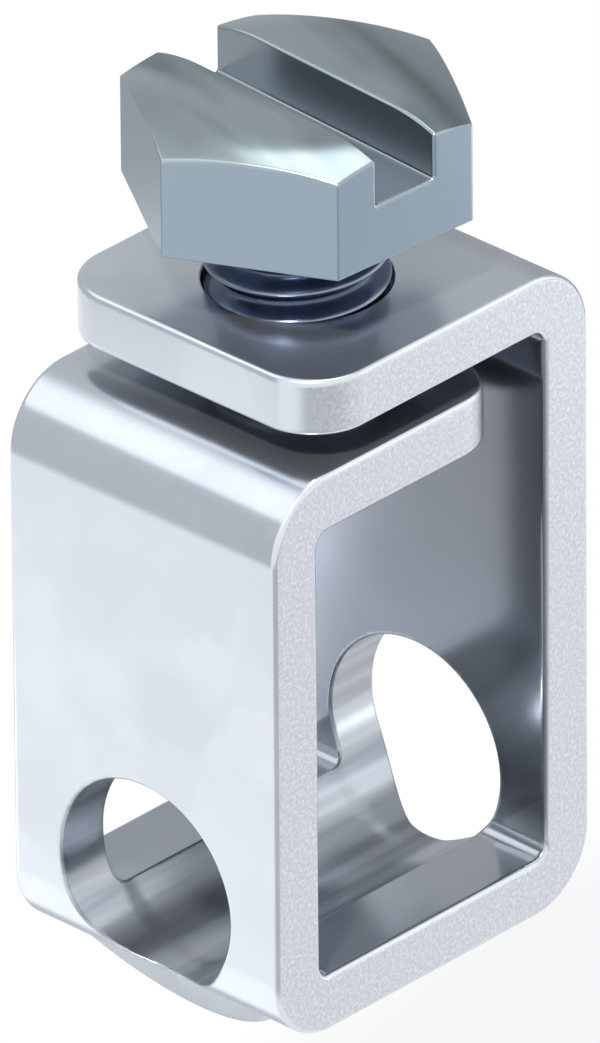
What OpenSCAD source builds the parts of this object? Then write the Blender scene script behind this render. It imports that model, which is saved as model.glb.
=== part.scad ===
// Box clamp for a flat bar and a round wire: a bent steel strip and its clamping screw.
// Frame: X along the wire, Y along the bar, Z up the screw. The origin lies on the screw's axis,
// halfway up the space that the bar passes through.

/* [Strip] */
// thickness of the steel strip
strip_t = 2; // [1.6:0.1:2.4]
// width of the strip, along the flat bar
strip_w = 11.5; // [10:0.5:14]
// outside length of the loop, along the wire
loop_len = 14.5; // [13.5:0.5:18]
// outside height, from the flat of the bottom to the face of the top lap
loop_h = 23.1; // [22:0.1:28]
// inside radius of each bend
bend_r = 0.5; // [0.3:0.1:0.8]
// air between the top lap and the lower lap
lap_gap = 1.05; // [0.6:0.05:1.5]
// setback of the top lap's free end from the near wall's face
top_setback = 2; // [1:0.1:3]
// gap between the lower lap's free end and the far wall
lower_end_gap = 1.6; // [1:0.1:2]
// radius of the four corners of the free ends, seen from above
end_corner_r = 2.1; // [1:0.1:2.5]

/* [Wire passage] */
// diameter of the two wire holes
wire_d = 7.3; // [6:0.1:7.6]
// height of the wire's axis above the flat of the bottom
wire_z = 4; // [3.9:0.1:4.5]
// how much wider in radius the pressed trough is than the holes, so that no strand catches
trough_relief = 0.05; // [0.02:0.01:0.2]
// thickness of the metal under the trough after pressing
trough_t = 1.85; // [1.6:0.05:2.2]
// where the trough's end leaves the bend: angle round the bend from the flat of the bottom
trough_start = 32; // [28:0.5:36]
// slope of the trough's ends, from upright
trough_slope = 34.5; // [28:0.5:38]

/* [Screw] */
// outside diameter of the screw's thread
screw_d = 6; // [5:0.5:6]
// pitch of the thread
screw_pitch = 1; // [0.8:0.05:1]
// radial clearance between the thread and both laps
screw_clearance = 0.05; // [0.02:0.01:0.1]
// length of the screw under its head
screw_len = 10; // [9:0.5:12]
// distance between two flats of the head
head_af = 10; // [9:0.5:10.5]
// height of the head
head_h = 4; // [3.5:0.1:4.5]
// how far the head stands off the top lap, as photographed
head_lift = 2.83; // [1:0.01:3.5]
// turn of the screw, as photographed: direction of one corner of the head
head_turn = -3.84; // [-30:0.01:30]
// diameter of the flat on top of the head, where the corner chamfer starts
head_top_d = 9.7; // [8.4:0.1:9.8]
// slope of the corner chamfer
head_chamfer = 30; // [15:1:30]

/* [Slot] */
// width of the screwdriver slot
slot_w = 2.45; // [1.6:0.05:2.6]
// depth of the slot
slot_depth = 1.9; // [1.4:0.1:2.2]
// broken edge along both sides of the slot
slot_break = 0.2; // [0.1:0.05:0.3]

/* [Hidden] */
$fn = 96;
// how far a cut runs past the face it opens
past = 0.5;
bend_out = bend_r + strip_t;
wire_r = wire_d / 2;
trough_r = wire_r + trough_relief;
bulge_r = trough_r + trough_t;
screw_r = screw_d / 2;
tap_r = screw_r + screw_clearance;
// depth of a 60 degree thread of this pitch
thread_depth = 0.613 * screw_pitch;
// the walls' outer faces, and the two free ends
near_x = -loop_len / 2;
far_x = loop_len / 2;
top_end_x = near_x + top_setback;
lower_end_x = far_x - strip_t - lower_end_gap;
// heights above the flat of the bottom: both laps, the head's bearing face, the origin
top_under = loop_h - strip_t;
lower_top = top_under - lap_gap;
lower_under = lower_top - strip_t;
bearing_z = loop_h + head_lift;
origin_z = (strip_t + lower_under) / 2;
head_corner_r = head_af / 2 / cos(30);

// one bend of the strip about (x, z): the quarter ring on the side of (dx, dz)
module bend(x, z, dx, dz) {
    translate([x, z])
        intersection() {
            difference() {
                circle(r = bend_out);
                circle(r = bend_r);
            }
            translate([dx < 0 ? -bend_out : 0, dz < 0 ? -bend_out : 0])
                square(bend_out);
        }
}

// the strip from its edge: top lap, far wall, bottom, near wall, lower lap
module strip_profile() {
    near_in = near_x + bend_out;
    far_in = far_x - bend_out;
    translate([top_end_x, top_under])
        square([far_in - top_end_x, strip_t]);
    bend(far_in, loop_h - bend_out, 1, 1);
    translate([far_x - strip_t, bend_out])
        square([strip_t, loop_h - 2 * bend_out]);
    bend(far_in, bend_out, 1, -1);
    translate([near_in, 0])
        square([far_in - near_in, strip_t]);
    bend(near_in, bend_out, -1, -1);
    translate([near_x, bend_out])
        square([strip_t, lower_top - 2 * bend_out]);
    bend(near_in, lower_top - bend_out, -1, 1);
    translate([near_in, lower_under])
        square([lower_end_x - near_in, strip_t]);
}

// a profile drawn in X and Z, made as wide as the strip
module across_strip() {
    translate([0, strip_w / 2, 0])
        rotate([90, 0, 0])
            linear_extrude(height = strip_w)
                children();
}

// what a rounded corner leaves off a free end at x, on the sides dx and dy
module corner_off(x, dx, dy, under) {
    r = end_corner_r;
    side = r + past;
    translate([x - dx * r, dy * (strip_w / 2 - r), under - lap_gap / 2])
        difference() {
            translate([dx < 0 ? -side : 0, dy < 0 ? -side : 0, 0])
                cube([side, side, strip_t + lap_gap]);
            translate([0, 0, -past])
                cylinder(r = r, h = strip_t + lap_gap + 2 * past);
        }
}

// a round bar on the wire's axis, from one x to another
module wire_bar(r, from_x, to_x) {
    translate([from_x, 0, wire_z])
        rotate([0, 90, 0])
            cylinder(r = r, h = to_x - from_x);
}

// the metal pressed out below the flat of the bottom, with a sloped end in each bend
module trough_bulge() {
    leave_x = near_x + bend_out * (1 - sin(trough_start));
    leave_z = bend_out * (1 - cos(trough_start));
    high = leave_z + bend_out / 4;
    low = wire_z - bulge_r - past;
    high_x = leave_x - (high - leave_z) * tan(trough_slope);
    low_x = leave_x + (leave_z - low) * tan(trough_slope);
    intersection() {
        wire_bar(bulge_r, near_x, far_x);
        across_strip()
            polygon([[high_x, high], [low_x, low], [-low_x, low], [-high_x, high]]);
    }
}

module clamp_body() {
    color([0.80, 0.81, 0.84])
        translate([0, 0, -origin_z])
            difference() {
                union() {
                    across_strip()
                        strip_profile();
                    trough_bulge();
                }
                for (dy = [-1, 1]) {
                    corner_off(top_end_x, -1, dy, top_under);
                    corner_off(lower_end_x, 1, dy, lower_under);
                }
                wire_bar(wire_r, near_x - past, near_x + strip_t);
                wire_bar(trough_r, near_x + strip_t, far_x - strip_t);
                wire_bar(wire_r, far_x - strip_t, far_x + past);
                translate([0, 0, lower_under - past])
                    cylinder(r = tap_r, h = loop_h - lower_under + 2 * past);
            }
}

// the hexagon, its corners turned off in a cone above; its flat underside bears on the top lap
module head() {
    chamfer_h = (head_corner_r + past - head_top_d / 2) * tan(head_chamfer);
    intersection() {
        cylinder(r = head_corner_r, h = head_h, $fn = 6);
        rotate_extrude()
            polygon([
                [0, -past],
                [head_corner_r + past, -past],
                [head_corner_r + past, head_h - chamfer_h],
                [head_top_d / 2, head_h],
                [0, head_h]
            ]);
    }
}

// the slot across two flats of the head, its upper edges broken
module slot() {
    w = slot_w / 2;
    wide = w + slot_break;
    reach = head_corner_r + past;
    translate([0, reach, head_h])
        rotate([90, 0, 0])
            linear_extrude(height = 2 * reach)
                polygon([
                    [-w, -slot_depth],
                    [w, -slot_depth],
                    [w, -slot_break],
                    [wide + past, past],
                    [-wide - past, past],
                    [-w, -slot_break]
                ]);
}

// the shank at the thread's outside size, pointed at its tip
module shank() {
    rotate_extrude()
        polygon([
            [0, -screw_len],
            [screw_r - thread_depth, -screw_len],
            [screw_r, thread_depth - screw_len],
            [screw_r, past],
            [0, past]
        ]);
}

module clamp_screw() {
    color([0.60, 0.66, 0.72])
        translate([0, 0, bearing_z - origin_z])
            rotate([0, 0, head_turn])
                difference() {
                    union() {
                        head();
                        shank();
                    }
                    slot();
                }
}

clamp_body();
clamp_screw();
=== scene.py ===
import math

import bmesh
import bpy
import numpy as np
from mathutils import Matrix, Vector


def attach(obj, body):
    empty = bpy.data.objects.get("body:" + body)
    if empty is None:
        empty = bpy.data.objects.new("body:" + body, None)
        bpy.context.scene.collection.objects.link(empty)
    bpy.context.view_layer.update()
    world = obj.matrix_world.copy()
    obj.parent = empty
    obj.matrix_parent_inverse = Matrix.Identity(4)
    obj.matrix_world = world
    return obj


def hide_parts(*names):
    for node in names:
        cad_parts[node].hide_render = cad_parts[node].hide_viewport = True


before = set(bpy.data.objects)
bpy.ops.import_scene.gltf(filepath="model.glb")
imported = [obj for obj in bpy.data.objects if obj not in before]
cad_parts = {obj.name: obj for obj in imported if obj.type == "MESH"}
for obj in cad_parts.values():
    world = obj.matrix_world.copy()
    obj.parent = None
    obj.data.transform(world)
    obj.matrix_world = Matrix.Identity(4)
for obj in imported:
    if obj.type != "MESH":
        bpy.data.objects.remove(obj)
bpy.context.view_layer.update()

# The camera: a long lens at the photograph's angle, so far off that parallel edges stay almost
# parallel. Its angles, scale and place were fitted to the clamp's straight edges.
MM = 0.001
azimuth, elevation, roll = math.radians(-46.635), math.radians(29.44), math.radians(-0.496)
look_at = Vector((0.0, 0.0, 1.975)) * MM
camera_distance = 850 * MM
film_size = 36.0
image_height_px, pixels_per_mm = 1043, 31.636
# how far below the picture's middle the camera shows the point that it was placed by
drop_px = 61.6

back = Vector((
    math.sin(azimuth) * math.cos(elevation),
    -math.cos(azimuth) * math.cos(elevation),
    math.sin(elevation),
))
level_right = (-back).cross(Vector((0, 0, 1))).normalized()
level_up = level_right.cross(-back)
up = level_up * math.cos(roll) - level_right * math.sin(roll)
camera_place = look_at + back * camera_distance
aim = (look_at + up * (drop_px / pixels_per_mm) * MM - camera_place).normalized()
side = aim.cross(up).normalized()
over = side.cross(aim)

camera_data = bpy.data.cameras.new("camera")
camera_data.sensor_width = film_size
camera_data.lens = film_size * pixels_per_mm * camera_distance / MM / image_height_px
camera_data.clip_start, camera_data.clip_end = 0.1, 10.0
camera = bpy.data.objects.new("camera", camera_data)
camera.matrix_world = Matrix((
    (side.x, over.x, -aim.x, camera_place.x),
    (side.y, over.y, -aim.y, camera_place.y),
    (side.z, over.z, -aim.z, camera_place.z),
    (0, 0, 0, 1),
))
bpy.context.scene.collection.objects.link(camera)
bpy.context.scene.camera = camera
bpy.context.scene.view_settings.view_transform = "Standard"


# The strip: 2 mm galvanised steel, blanked and bent four times into a loop round the bar's
# passage. The two wire holes are bored straight through it, and the trough between them is pressed
# out of its floor. The blanked edges are grainy and a little rounded.
# sizes in millimetres, heights from the flat of the bottom
strip_t, strip_w, loop_len, loop_h = 2.0, 11.5, 14.5, 23.1
bend_r, lap_gap, top_setback, lower_end_gap, end_corner_r = 0.5, 1.05, 2.0, 1.6, 2.1
wire_r, wire_z, trough_relief, trough_t = 3.65, 4.0, 0.05, 1.85
tap_r = 3.05
# the pressed trough's ends leave the bends a little lower than in the CAD, so that their crease
# stays below the holes' lips
trough_start, trough_slope, bulge_over_crease = math.radians(28), math.radians(32.2), 0.1
edge_r, bore_edge_r, bulge_end_r, bulge_foot_r, tap_edge_r = 0.2, 0.12, 0.25, 0.02, 0.05

bend_out = bend_r + strip_t
bend_mid = bend_r + strip_t / 2
near_in, far_in = bend_out - loop_len / 2, loop_len / 2 - bend_out
top_end_x = top_setback - loop_len / 2
lower_end_x = loop_len / 2 - strip_t - lower_end_gap
wall_in = loop_len / 2 - strip_t
lower_top = loop_h - strip_t - lap_gap
lower_under = lower_top - strip_t
floor_z = -(strip_t + lower_under) / 2
nowhere = 1e3


def round_corner(a, b, r, lean=0.0):
    """The inside of both shapes, given by their distances, with the shared edge rounded. The lean
    is the cosine of the angle between their normals, 0 where they meet square."""
    a, b = a + r, b + r
    tip = np.sqrt(np.maximum(a * a + b * b - 2 * a * b * lean, 0) / (1 - lean * lean))
    return np.where((a > b * lean) & (b > a * lean), tip, np.maximum(a, b)) - r


def strip_parts(x, y, z):
    """How far each point (mm) is outside the strip's faces and outside its blanked outline, and
    on which of its two faces it lies: positive on the face that ends up outside the loop."""

    def flat(off, along, low, high):
        return np.where((along >= low) & (along <= high), off, nowhere)

    def bend(cx, cz, dx, dz):
        ring = np.hypot(x - cx, z - cz) - bend_mid
        return np.where(((x - cx) * dx >= 0) & ((z - cz) * dz >= 0), ring, nowhere)

    off = np.stack([
        flat(z - (loop_h - strip_t / 2), x, -nowhere, far_in),
        flat(z - (lower_top - strip_t / 2), x, near_in, lower_end_x + lower_end_gap / 2),
        bend(far_in, loop_h - bend_out, 1, 1),
        flat(x - (loop_len - strip_t) / 2, z, bend_out, loop_h - bend_out),
        bend(far_in, bend_out, 1, -1),
        flat(strip_t / 2 - z, x, near_in, far_in),
        bend(near_in, bend_out, -1, -1),
        flat(-x - (loop_len - strip_t) / 2, z, bend_out, lower_top - bend_out),
        bend(near_in, lower_top - bend_out, -1, 1),
    ])
    nearest = np.abs(off).argmin(0)
    side = np.take_along_axis(off, nearest[None, :], 0)[0]
    past_end = np.where(nearest == 1, x - lower_end_x, -nowhere)
    past_end = np.where(nearest == 0, top_end_x - x, past_end)
    blank = round_corner(np.abs(y) - strip_w / 2, past_end, end_corner_r)
    return np.abs(side) - strip_t / 2, blank, side


def strip_solid(x, y, z):
    """How far each point is outside the strip with its pressed trough, before it is bored."""
    face, blank, _ = strip_parts(x, y, z)
    strip = round_corner(face, blank, edge_r)
    leave_x = bend_out * (1 - math.sin(trough_start)) - loop_len / 2
    leave_z = bend_out * (1 - math.cos(trough_start))
    end = (np.abs(x) + leave_x) * math.cos(trough_slope) - (z - leave_z) * math.sin(trough_slope)
    bulge = np.hypot(y, z - wire_z) - wire_r - trough_relief - trough_t
    bulge = round_corner(bulge, end, bulge_end_r)
    bulge = np.maximum(bulge, z - leave_z - bulge_over_crease)
    return -round_corner(-strip, -bulge, bulge_foot_r)


def strip_distance(p):
    """How far each point (mm) is outside the finished strip."""
    x, y, z = p[:, 0], p[:, 1], p[:, 2] - floor_z
    probe, relief_run, most_lean = 0.02, 0.8, 0.93
    solid = strip_solid(x, y, z)
    rise = (strip_solid(x, y, z + probe) - strip_solid(x, y, z - probe)) / (2 * probe)

    from_wire = np.hypot(y, z - wire_z)
    inside = np.clip((wall_in - np.abs(x)) / relief_run, 0, 1)
    bore = from_wire - wire_r - trough_relief * inside * inside * (3 - 2 * inside)
    lean = np.clip(-rise * (z - wire_z) / np.maximum(from_wire, 1e-6), -most_lean, most_lean)
    # where a hole runs out through the bend the metal ends in a wedge, sharpest at the bottom, and
    # the near hole's lip, which is seen from outside, is rounded less there
    wedge_in, wedge_low_z, wedge_lean, wedge_less = 0.3, 0.4, 0.6, 0.55
    wedge = np.clip((bend_out - z) / (bend_out - wedge_low_z), 0, 1)
    wedge = np.where(np.abs(x) > wall_in + wedge_in, wedge, 0)
    lean = np.where(wedge > 0, -wedge_lean * wedge, lean)
    lip_r = bore_edge_r * (1 - wedge_less * np.where(x < 0, wedge, 0))
    solid = round_corner(solid, -bore, lip_r, lean)
    tap = np.where(z > loop_h / 2, np.hypot(x, y) - tap_r, nowhere)
    return round_corner(solid, -tap, tap_edge_r)


def strip_finish(p):
    """How much each point lies on a blanked edge, in the painted shade inside the loop, and in a
    bore or the trough.
    """
    x, y, z = p[:, 0], p[:, 1], p[:, 2] - floor_z
    face, blank, side = strip_parts(x, y, z)
    # how far one finish runs into the next, in millimetres
    bore_fade, cut_fade, inner_fade, outline_fade, floor_fade = 0.08, 0.1, 0.3, 0.12, 1.5
    floor_least = 0.35
    bored = np.clip(1 - (np.hypot(y, z - wire_z) - wire_r - trough_relief) / bore_fade, 0, 1)
    # a blanked edge starts where the outline's own face turns towards the side
    probe, turn_from, turn_over = 0.02, 0.6, 0.38
    turned = strip_parts(x, y + probe, z)[1] - strip_parts(x, y - probe, z)[1]
    cut = np.clip((np.abs(turned) / (2 * probe) - turn_from) / turn_over, 0, 1) * (1 - bored)
    cut = cut * np.clip((blank - face - cut_fade) / cut_fade, 0, 1)
    # painted shade: the share of the loop's inside that is painted darker, weaker on its floor and
    # none in the bores
    inner_shade_share = np.clip(0.5 - side / inner_fade, 0, 1)
    inner_shade_share = inner_shade_share * np.clip(0.5 + (face - blank) / outline_fade, 0, 1)
    inner_shade_share = inner_shade_share * np.clip((z - strip_t) / floor_fade, floor_least, 1) * (1 - bored)
    return {"cut_edge": cut, "inner_painted_shade": inner_shade_share, "bored": bored}


def settle(piece, distance, rounds, evened):
    """Moves each vertex onto the surface where the distance is zero, evens the net out along that
    surface in the first rounds, and gives each vertex the surface's own normal."""
    mesh = piece.data
    p = np.empty(len(mesh.vertices) * 3)
    mesh.vertices.foreach_get("co", p)
    p = p.reshape(-1, 3) / MM
    ends = np.empty(len(mesh.edges) * 2, dtype=np.int64)
    mesh.edges.foreach_get("vertices", ends)
    ends = ends.reshape(-1, 2)
    neighbours = np.bincount(ends.ravel(), minlength=len(p))[:, None]
    probe, longest_step, least_slope = 0.01, 0.2, 0.5

    def slope(q):
        return np.stack([
            distance(q + probe * axis) - distance(q - probe * axis) for axis in np.eye(3)
        ], 1) / (2 * probe)

    for turn in range(rounds):
        if turn < evened:
            total = np.zeros_like(p)
            for axis in range(3):
                total[:, axis] = np.bincount(ends[:, 0], p[ends[:, 1], axis], len(p))
                total[:, axis] += np.bincount(ends[:, 1], p[ends[:, 0], axis], len(p))
            p += 0.5 * (total / neighbours - p)
        g = slope(p)
        step = distance(p) / np.maximum((g * g).sum(1), least_slope ** 2)
        p -= np.clip(step, -longest_step, longest_step)[:, None] * g
    g = slope(p)
    normals = g / np.maximum(np.linalg.norm(g, axis=1), 1e-9)[:, None]
    mesh.vertices.foreach_set("co", (p * MM).ravel())
    mesh.polygons.foreach_set("use_smooth", [True] * len(mesh.polygons))
    mesh.update()
    mesh.normals_split_custom_set_from_vertices(normals.tolist())
    return normals


def split_where_bent(piece, normals, degrees, shortest):
    """Halves each edge, unless it is this short (mm), along which the surface turns by more than
    this many degrees."""
    bm = bmesh.new()
    bm.from_mesh(piece.data)
    ends = np.array([(edge.verts[0].index, edge.verts[1].index) for edge in bm.edges])
    turned = (normals[ends[:, 0]] * normals[ends[:, 1]]).sum(1) < math.cos(math.radians(degrees))
    long = np.array([edge.calc_length() for edge in bm.edges]) > shortest * MM
    bent = [edge for edge, split in zip(bm.edges, turned & long) if split]
    bmesh.ops.subdivide_edges(bm, edges=bent, cuts=1, use_grid_fill=True)
    bmesh.ops.triangulate(bm, faces=bm.faces)
    bm.to_mesh(piece.data)
    bm.free()


def skin(node, name, distance, net_size):
    """A finished surface in a CAD node's place: the node's copy is merged and given an even net of
    faces, and the net is settled on the true surface and made finer where that bends sharply."""
    weld = 0.0005
    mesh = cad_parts[node].data.copy()
    bm = bmesh.new()
    bm.from_mesh(mesh)
    bmesh.ops.remove_doubles(bm, verts=bm.verts, dist=weld * MM)
    bm.to_mesh(mesh)
    bm.free()
    mesh.materials.clear()
    piece = bpy.data.objects.new(name, mesh)
    bpy.context.scene.collection.objects.link(piece)

    net = piece.modifiers.new("net", "REMESH")
    net.mode, net.voxel_size = "VOXEL", net_size * MM
    view = bpy.context.evaluated_depsgraph_get()
    made = bpy.data.meshes.new_from_object(piece.evaluated_get(view))
    piece.modifiers.clear()
    piece.data = made
    normals = settle(piece, distance, rounds=6, evened=4)
    for _ in range(3):
        split_where_bent(piece, normals, degrees=14, shortest=0.035)
        normals = settle(piece, distance, rounds=3, evened=2)
    return piece


def mark_finishes(piece, finish_shares):
    """Keeps each vertex's share of each finish as an attribute, which the material reads."""
    p = np.empty(len(piece.data.vertices) * 3)
    piece.data.vertices.foreach_get("co", p)
    for finish, share in finish_shares(p.reshape(-1, 3) / MM).items():
        piece.data.attributes.new(finish, "FLOAT", "POINT").data.foreach_set("value", share)


strip = skin("clamp_body", "bent_strip", strip_distance, net_size=0.21)
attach(strip, "clamp_body")
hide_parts("clamp_body")
mark_finishes(strip, strip_finish)


def linear(hex_colour):
    """An sRGB hex colour as the linear colour that the shaders take."""
    levels = [int(hex_colour[i:i + 2], 16) / 255 for i in (1, 3, 5)]
    return [v / 12.92 if v <= 0.04045 else ((v + 0.055) / 1.055) ** 2.4 for v in levels] + [1.0]


def add(material, kind, settings=None, **inputs):
    """Adds a node: its settings by name, and each input by name or number as a value or a link."""
    tree = material.node_tree
    node = tree.nodes.new("ShaderNode" + kind)
    for key, value in (settings or {}).items():
        setattr(node, key, value)
    for key, value in inputs.items():
        socket = node.inputs[int(key[1:])] if key[0] == "_" else node.inputs[key.replace("_", " ")]
        if isinstance(value, bpy.types.NodeSocket):
            tree.links.new(value, socket)
        else:
            socket.default_value = value
    return node


# Galvanised steel, hot dipped and rolled: a pale zinc skin whose large crystals, with wandering
# soft edges, differ a little in tone and gloss, so it mirrors the studio softly.
steel = bpy.data.materials.new("galvanised_steel")
steel.use_nodes = True
steel_shader = steel.node_tree.nodes["Principled BSDF"]
steel_shader.inputs["Metallic"].default_value = 0.92
spangle_mm, cloud_mm, wander_mm, wander_reach_mm = 2.2, 5.0, 1.2, 1.4
where = add(steel, "TexCoord").outputs["Object"]
drift = add(steel, "TexNoise", None, Vector=where, Scale=1 / (wander_mm * MM),
            Detail=2.0).outputs["Color"]
shift = add(steel, "VectorMath", {"operation": "MULTIPLY_ADD"},
            _0=drift, _1=(wander_reach_mm * MM,) * 3, _2=where).outputs[0]
crystal = add(steel, "TexVoronoi", {"feature": "SMOOTH_F1"}, Vector=shift,
              Scale=1 / (spangle_mm * MM), Smoothness=0.6).outputs["Color"]
crystal_tone = add(steel, "SeparateColor", None, Color=crystal).outputs[0]
clouds = add(steel, "TexNoise", None, Vector=where, Scale=1 / (cloud_mm * MM), Detail=4.0,
             Roughness=0.6).outputs["Fac"]
patches = add(steel, "Math", {"operation": "ADD"}, _0=crystal_tone, _1=clouds).outputs[0]
patches = add(steel, "MapRange", None, Value=patches, From_Min=0.4, From_Max=1.6).outputs[0]
outer = add(steel, "Mix", {"data_type": "RGBA"}, _0=patches, _6=linear("#D8DEE5"),
            _7=linear("#E4E9EF")).outputs[2]
outer_rough = add(steel, "MapRange", None, Value=patches, To_Min=0.18, To_Max=0.2).outputs[0]

# inside the loop the strip is smoother, and painted darker as painted shade of the loop's hollow
inner_shade_tone = add(steel, "Mix", {"data_type": "RGBA"}, _0=clouds, _6=linear("#7C818A"),
            _7=linear("#8D929B")).outputs[2]

# the torn steel of a sheared edge is matt and grainy, with grains as coarse as the photograph's
grain_mm = 0.125
grains = add(steel, "TexNoise", None, Vector=where, Scale=1 / (grain_mm * MM), Detail=1.0,
             Roughness=0.5).outputs["Fac"]
grains = add(steel, "MapRange", None, Value=grains, From_Min=0.4, From_Max=0.78).outputs[0]
sheared = add(steel, "Mix", {"data_type": "RGBA"}, _0=grains, _6=linear("#C9CCD4"),
              _7=linear("#E4E6EC")).outputs[2]

# the wire holes and the trough are bright steel with long marks of the tool along the wire
mark_mm, mark_long_mm = 0.9, 15.0
along_wire = add(steel, "Mapping", None, Vector=where,
                 Scale=(mark_mm / mark_long_mm, 1, 1)).outputs[0]
marks = add(steel, "TexNoise", None, Vector=along_wire, Scale=1 / (mark_mm * MM),
            Detail=2.0).outputs["Fac"]
marks = add(steel, "MapRange", None, Value=marks, From_Min=0.35, From_Max=0.65).outputs[0]
bored = add(steel, "Mix", {"data_type": "RGBA"}, _0=marks, _6=linear("#979DA4"),
            _7=linear("#C6CBD1")).outputs[2]

# one finish over the other, the sheared one both under and over the painted inner shade, so that
# the outer one doesn't show through where they fade
tone, rough = outer, outer_rough
for finish, colour in (
    ("cut_edge", sheared), ("inner_painted_shade", inner_shade_tone), ("cut_edge", sheared), ("bored", bored),
):
    share = add(steel, "Attribute", {"attribute_name": finish}).outputs["Fac"]
    tone = add(steel, "Mix", {"data_type": "RGBA"}, _0=share, _6=tone, _7=colour).outputs[2]
# inside the loop, under the painted shade, the steel is also smoother
for finish, roughness in (("inner_painted_shade", 0.12), ("cut_edge", 0.42), ("bored", 0.24)):
    share = add(steel, "Attribute", {"attribute_name": finish}).outputs["Fac"]
    rough = add(steel, "Mix", {"data_type": "FLOAT"}, _0=share, _2=rough, _3=roughness).outputs[0]
steel.node_tree.links.new(tone, steel_shader.inputs["Base Color"])
steel.node_tree.links.new(rough, steel_shader.inputs["Roughness"])
strip.data.materials.append(steel)


# The screw: a slotted hexagon head M6 screw of steel, cold formed with its corners turned off in a
# cone, its thread rolled, then zinc plated and passivated blue. It runs through both laps.
head_af, head_h, head_top_d, head_chamfer = 10.0, 4.0, 9.7, math.radians(30)
head_lift, head_turn = 2.83, math.radians(-3.84)
head_edge_r, crown_r = 0.07, 6.0
slot_w, slot_depth, slot_break, slot_root_r = 2.45, 1.9, 0.12, 0.1
screw_r, screw_len, tip_r, into_head = 3.0, 10.0, 0.1, 1.0
# the thread: its flank runs between two shares of half a pitch, counted from the crest, and it
# runs out just under the head at a shallower depth
pitch, thread_depth, crest_round = 1.0, 0.55, 0.14
flank_from, flank_to, flank_steep = 0.12, 0.8, 0.8
runout_up, runout_len, runout_depth = 0.35, 0.3, 0.45
# one crest as photographed: in this direction it stands this high above the top lap
crest_angle, crest_up = math.radians(-136.8), 0.91
bearing_z = loop_h + head_lift + floor_z
crest_z = loop_h + floor_z + crest_up


def turned_with_head(p):
    """Each point's place across the slot, along it and above the bearing face, and its radius."""
    x = p[:, 0] * math.cos(head_turn) + p[:, 1] * math.sin(head_turn)
    y = p[:, 1] * math.cos(head_turn) - p[:, 0] * math.sin(head_turn)
    return x, y, p[:, 2] - bearing_z, np.hypot(x, y)


def hexagon_distance(x, y):
    """How far each point is outside the head's six flats, with their corners rounded."""
    flat_r = head_af / 2 - head_edge_r
    half_side = flat_r / math.sqrt(3)
    cos30, sin30 = math.cos(math.radians(30)), 0.5
    along, out = np.abs(x), np.abs(y)
    past_corner = np.minimum(sin30 * out - cos30 * along, 0) * 2
    along, out = along + cos30 * past_corner, out - sin30 * past_corner - flat_r
    along = along - np.clip(along, -half_side, half_side)
    return np.hypot(along, out) * np.sign(out) - head_edge_r


def head_top(rho, z):
    """How far each point is outside the head's top, whose corners are turned off in a cone."""
    cone = (rho - head_top_d / 2) * math.sin(head_chamfer) + (z - head_h) * math.cos(head_chamfer)
    return round_corner(cone, z - head_h, crown_r, math.cos(head_chamfer))


def screw_distance(p):
    """How far each point (mm) is outside the finished screw."""
    x, y, z, rho = turned_with_head(p)
    head = round_corner(hexagon_distance(x, y), head_top(rho, z), head_edge_r)
    head = round_corner(head, -z, head_edge_r)
    slot = round_corner(np.abs(x) - slot_w / 2, head_h - slot_depth - z, slot_root_r)
    head = round_corner(head, -slot, slot_break)

    angle = np.arctan2(p[:, 1], p[:, 0])
    phase = (p[:, 2] - crest_z) / pitch - (angle - crest_angle) / (2 * math.pi)
    saw = np.abs(phase - np.round(phase)) * 2
    flank = np.hypot(saw - flank_from, crest_round) - np.hypot(saw - flank_to, crest_round)
    depth = thread_depth * (0.5 + 0.5 * flank / (flank_to - flank_from))
    runout = np.clip((p[:, 2] - (crest_z + runout_up)) / runout_len, 0, 1)
    runout = runout * runout * (3 - 2 * runout)
    depth = depth + (runout_depth - depth) * runout
    tip = np.clip(thread_depth - (z + screw_len), 0, thread_depth)
    shank = (rho - (screw_r - np.maximum(depth, tip))) * flank_steep
    shank = round_corner(shank, np.maximum(-screw_len - z, z - into_head), tip_r)
    return np.minimum(head, shank)


def screw_finish(p):
    """How much each point lies on the head's top, in the slot, on the shank under the head, which
    is painted dark as painted shade, and on a crest there, which is painted light as a painted
    highlight."""
    x, _, z, rho = turned_with_head(p)
    # how far one finish runs into the next, and how far it reaches past its edge, in millimetres
    fade, crown_fade, neck_shade_fade = 0.05, 0.12, 0.1
    slot_past, slot_under, crest_deep = 0.06, 0.08, 0.09
    milled = np.clip((slot_w / 2 + slot_past - np.abs(x)) / fade, 0, 1)
    milled = milled * np.clip((z - (head_h - slot_depth) + slot_under) / fade, 0, 1)
    crown = np.clip(1 + head_top(rho, z) / crown_fade, 0, 1)
    # painted shade below the head's bearing face, and a painted highlight on the crests there
    painted_neck_shade = np.clip(0.5 - z / neck_shade_fade, 0, 1)
    painted_crest_highlight = np.clip((rho - screw_r + crest_deep) / fade, 0, 1) * painted_neck_shade
    return {"crown": crown, "milled": milled, "painted_neck_shade": painted_neck_shade, "painted_crest_highlight": painted_crest_highlight}


screw = skin("clamp_screw", "screw", screw_distance, net_size=0.14)
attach(screw, "clamp_screw")
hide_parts("clamp_screw")
mark_finishes(screw, screw_finish)

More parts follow.
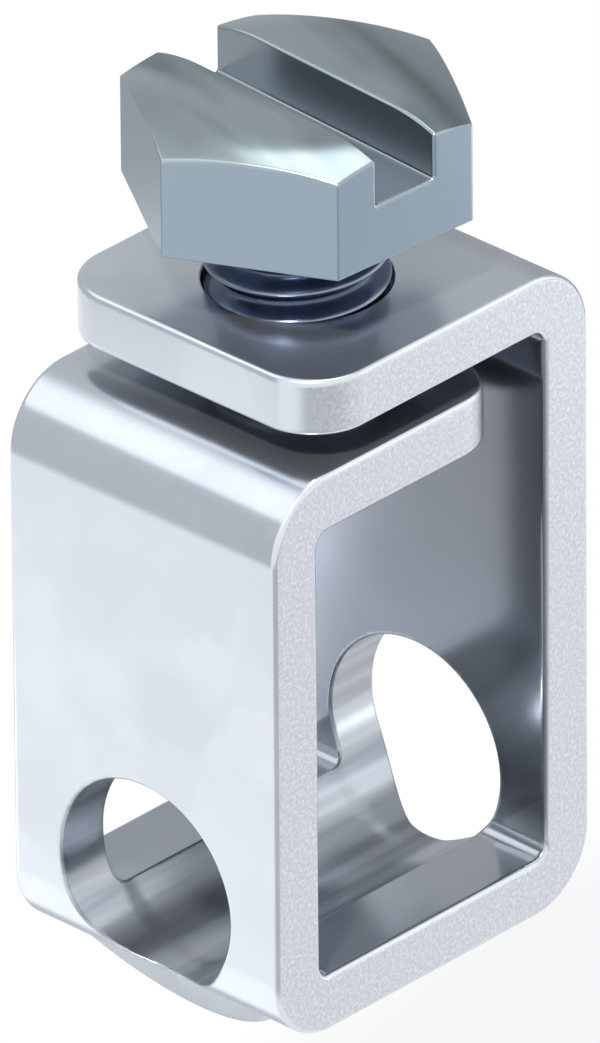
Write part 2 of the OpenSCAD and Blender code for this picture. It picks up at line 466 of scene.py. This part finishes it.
# Bright zinc plating with a blue passivation: a smooth grey-blue metal. Its top is painted with
# broad soft streaks a little askew to the slot, as painted reflections of the studio.
zinc = bpy.data.materials.new("zinc_plating")
zinc.use_nodes = True
zinc_shader = zinc.node_tree.nodes["Principled BSDF"]
zinc_shader.inputs["Metallic"].default_value = 1.0
zinc_shader.inputs["Roughness"].default_value = 0.22
streak_mm, streak_long_mm, streak_askew = 2.2, 9.0, -0.2
at_head = add(zinc, "Mapping", {"vector_type": "TEXTURE"},
              Vector=add(zinc, "TexCoord").outputs["Object"],
              Rotation=(0, 0, head_turn + streak_askew),
              Scale=(1, streak_long_mm / streak_mm, 1)).outputs[0]
reflection_streaks = add(zinc, "TexNoise", None, Vector=at_head, Scale=1 / (streak_mm * MM), Detail=1.5,
              Roughness=0.5, Distortion=0.2).outputs["Fac"]
reflection_streaks = add(zinc, "MapRange", None, Value=reflection_streaks, From_Min=0.3, From_Max=0.55).outputs[0]
# painted reflection: the head's top streaked lighter and darker
painted_top_reflection = add(zinc, "Mix", {"data_type": "RGBA"}, _0=reflection_streaks, _6=linear("#8C9799"),
            _7=linear("#BBC9CC")).outputs[2]

# the milled slot is paler; the thread below the head is painted nearly black, as painted shade
# under the head, and its crests lighter again, as a painted highlight
plated = linear("#9CACB9")
for finish, colour in (
    ("crown", painted_top_reflection), ("milled", linear("#A6AEB4")), ("painted_neck_shade", linear("#596276")),
    ("painted_crest_highlight", linear("#8F98A6")),
):
    share = add(zinc, "Attribute", {"attribute_name": finish}).outputs["Fac"]
    plated = add(zinc, "Mix", {"data_type": "RGBA"}, _0=share, _6=plated, _7=colour).outputs[2]
zinc.node_tree.links.new(plated, zinc_shader.inputs["Base Color"])
screw.data.materials.append(zinc)


# The studio: a plain white room and floor, with papers round the clamp, out of the camera's sight,
# for the metal to mirror: grey behind and in front of it, and white where a lit one hangs. The
# grey ones on the floor are painted shadows of the clamp and of the camera's stand, and painted
# shade on the floor's right. One small lamp, high in front on the left, casts the real shadows.
world = bpy.data.worlds.new("studio")
bpy.context.scene.world = world
world.use_nodes = True


def seen_or_mirrored(material):
    """1 for what the camera sees directly, in a metal or through a glass, else 0."""
    path = add(material, "LightPath")
    first = add(material, "Math", {"operation": "MAXIMUM"}, _0=path.outputs["Is Camera Ray"],
                _1=path.outputs["Is Glossy Ray"]).outputs[0]
    return add(material, "Math", {"operation": "MAXIMUM"}, _0=first,
               _1=path.outputs["Is Transmission Ray"]).outputs[0]


room = add(world, "MixShader", None, _0=seen_or_mirrored(world),
           _1=add(world, "Background", None, Color=linear("#B8BBC0")).outputs[0],
           _2=add(world, "Background", None, Color=(1, 1, 1, 1)).outputs[0])
world.node_tree.links.new(room.outputs[0], world.node_tree.nodes["World Output"].inputs[0])

lamp_shines = Vector((0.52, 0.257, -0.814))
key_data = bpy.data.lights.new("key", "SUN")
key_data.energy, key_data.angle = 3.0, math.radians(6)
key = bpy.data.objects.new("key", key_data)
key.rotation_euler = lamp_shines.to_track_quat("-Z", "Y").to_euler()
bpy.context.scene.collection.objects.link(key)

# the floor: white paper, 2 m square, that shows the camera a strength of almost 1 and still takes
# the clamp's shadow
ground_z, floor_half, floor_glow = -30, 1.0, 0.88
bm = bmesh.new()
bmesh.ops.create_grid(bm, x_segments=1, y_segments=1, size=floor_half)
bmesh.ops.translate(bm, verts=bm.verts, vec=(0, 0, ground_z * MM))
floor_mesh = bpy.data.meshes.new("floor")
bm.to_mesh(floor_mesh)
bm.free()
floor = bpy.data.objects.new("floor", floor_mesh)
bpy.context.scene.collection.objects.link(floor)
white_paper = bpy.data.materials.new("white_paper")
white_paper.use_nodes = True
floor_mesh.materials.append(white_paper)
diffuse = add(white_paper, "BsdfDiffuse", None, Color=linear("#E8E8E8"))
seen = add(white_paper, "MixShader", None, _0=floor_glow, _1=diffuse.outputs[0],
           _2=add(white_paper, "Emission").outputs[0])
shown = add(white_paper, "MixShader", None, _0=seen_or_mirrored(white_paper),
            _1=diffuse.outputs[0], _2=seen.outputs[0])
white_paper.node_tree.links.new(
    shown.outputs[0], white_paper.node_tree.nodes["Material Output"].inputs[0])

lit_paper = bpy.data.materials.new("lit_paper")
lit_paper.use_nodes = True
glow = add(lit_paper, "Emission", None, Color=linear("#F7FAFF"),
           Strength=add(lit_paper, "Attribute", {"attribute_name": "glow"}).outputs["Fac"])
lit_paper.node_tree.links.new(
    glow.outputs[0], lit_paper.node_tree.nodes["Material Output"].inputs[0])


def hang(name, bm, glow):
    """Hangs up a paper that only a metal's mirror image shows, with each vertex's own glow."""
    mesh = bpy.data.meshes.new(name)
    bm.to_mesh(mesh)
    bm.free()
    mesh.attributes.new("glow", "FLOAT", "POINT").data.foreach_set("value", glow)
    mesh.materials.append(lit_paper)
    sheet = bpy.data.objects.new(name, mesh)
    sheet.visible_camera = sheet.visible_diffuse = sheet.visible_shadow = False
    bpy.context.scene.collection.objects.link(sheet)


def paper(name, place, along, half, fade, edge, middle, facing=None):
    """A flat paper round this place (mm), its first side along a given direction. It faces the
    clamp, and its glow changes from the middle's to the edge's over the outer millimetres."""
    facing = Vector(facing) if facing else -Vector(place).normalized()
    first = (Vector(along) - facing * facing.dot(Vector(along))).normalized()
    second = facing.cross(first)
    bm = bmesh.new()
    bmesh.ops.create_grid(bm, x_segments=20, y_segments=20, size=1.0)
    local = np.array([vert.co.xy for vert in bm.verts]) * half
    share = np.clip((np.array(half) - np.abs(local)) / fade, 0, 1)
    share = share * share * (3 - 2 * share)
    turned = Matrix((first, second, facing)).transposed().to_4x4()
    sized = Matrix.Diagonal((half[0] * MM, half[1] * MM, 1, 1))
    bmesh.ops.transform(bm, verts=bm.verts,
                        matrix=Matrix.Translation(Vector(place) * MM) @ turned @ sized)
    hang(name, bm, edge + (middle - edge) * share[:, 0] * share[:, 1])


# the grey paper that stands behind in an arc, darker towards its right end
card_r, card_high, card_from, card_turn = 85, 150, math.radians(-16), math.radians(181)
bm = bmesh.new()
foot = bm.verts.new((card_r * MM * math.cos(card_from), card_r * MM * math.sin(card_from),
                     ground_z * MM))
top = bm.verts.new((foot.co.x, foot.co.y, card_high * MM))
bm.edges.new((foot, top))
bmesh.ops.spin(bm, geom=bm.verts[:] + bm.edges[:], cent=(0, 0, 0), axis=(0, 0, 1),
               angle=card_turn, steps=60)
bearing = [math.degrees(math.atan2(vert.co.y, vert.co.x)) for vert in bm.verts]
hang("back", bm, np.interp(bearing, [10, 20, 32, 50], [0.52, 0.38, 0.38, 0.55]))

# papers on the floor, the bright one on top, the grey ones painted shadows and painted shade:
# each one's place, the direction of its first side, half its size, how far its edge fades in, and
# how its edge and its middle glow
up_z, lies, on_top = (0, 0, 1), ground_z + 0.2, ground_z + 0.3
# a painted shadow: the clamp's shadow on the floor behind it
paper("painted_clamp_shadow", (21.9, 34, lies), (1, 0, 0), (25.4, 28), (0.8, 5), 1.0, 0.6, up_z)
paper("floor_left", (-19.4, 22, lies), (1, 0, 0), (15.3, 17.5), (0.5, 3), 1.0, 1.3, up_z)
paper("floor_bright", (-26.3, 43, on_top), (0.809, -0.588, 0), (8, 7), (1, 1), 1.2, 3.5, up_z)
# a painted shadow: the camera stand's shadow on the floor in front
paper("painted_camera_shadow", (-29, -65, lies), (0.7, -0.7, 0), (69, 38), (30, 14), 1.0, 0.5, up_z)
# painted shade: the floor darker on the right, away from the light
paper("painted_floor_shade", (56, -84, lies), (1, 0, 0), (36, 20), (8, 5), 1.0, 0.7, up_z)

# lit papers that hang round the clamp
paper("back_left", (-44, 54, 70), (1, 0, 1), (58, 45), (38, 12), 0.55, 1.3)
paper("above", (45, 21, 133), (0.526, 0.775, -0.351), (58, 28), (14, 12), 1.0, 2.5)
paper("front_right", (75, -60, 45), (0, 0, 1), (32, 32), (8, 8), 1.0, 1.4)
paper("front_low", (62, -57, -18), (0, 0, 1), (7, 10), (2, 3), 1.0, 3.6)
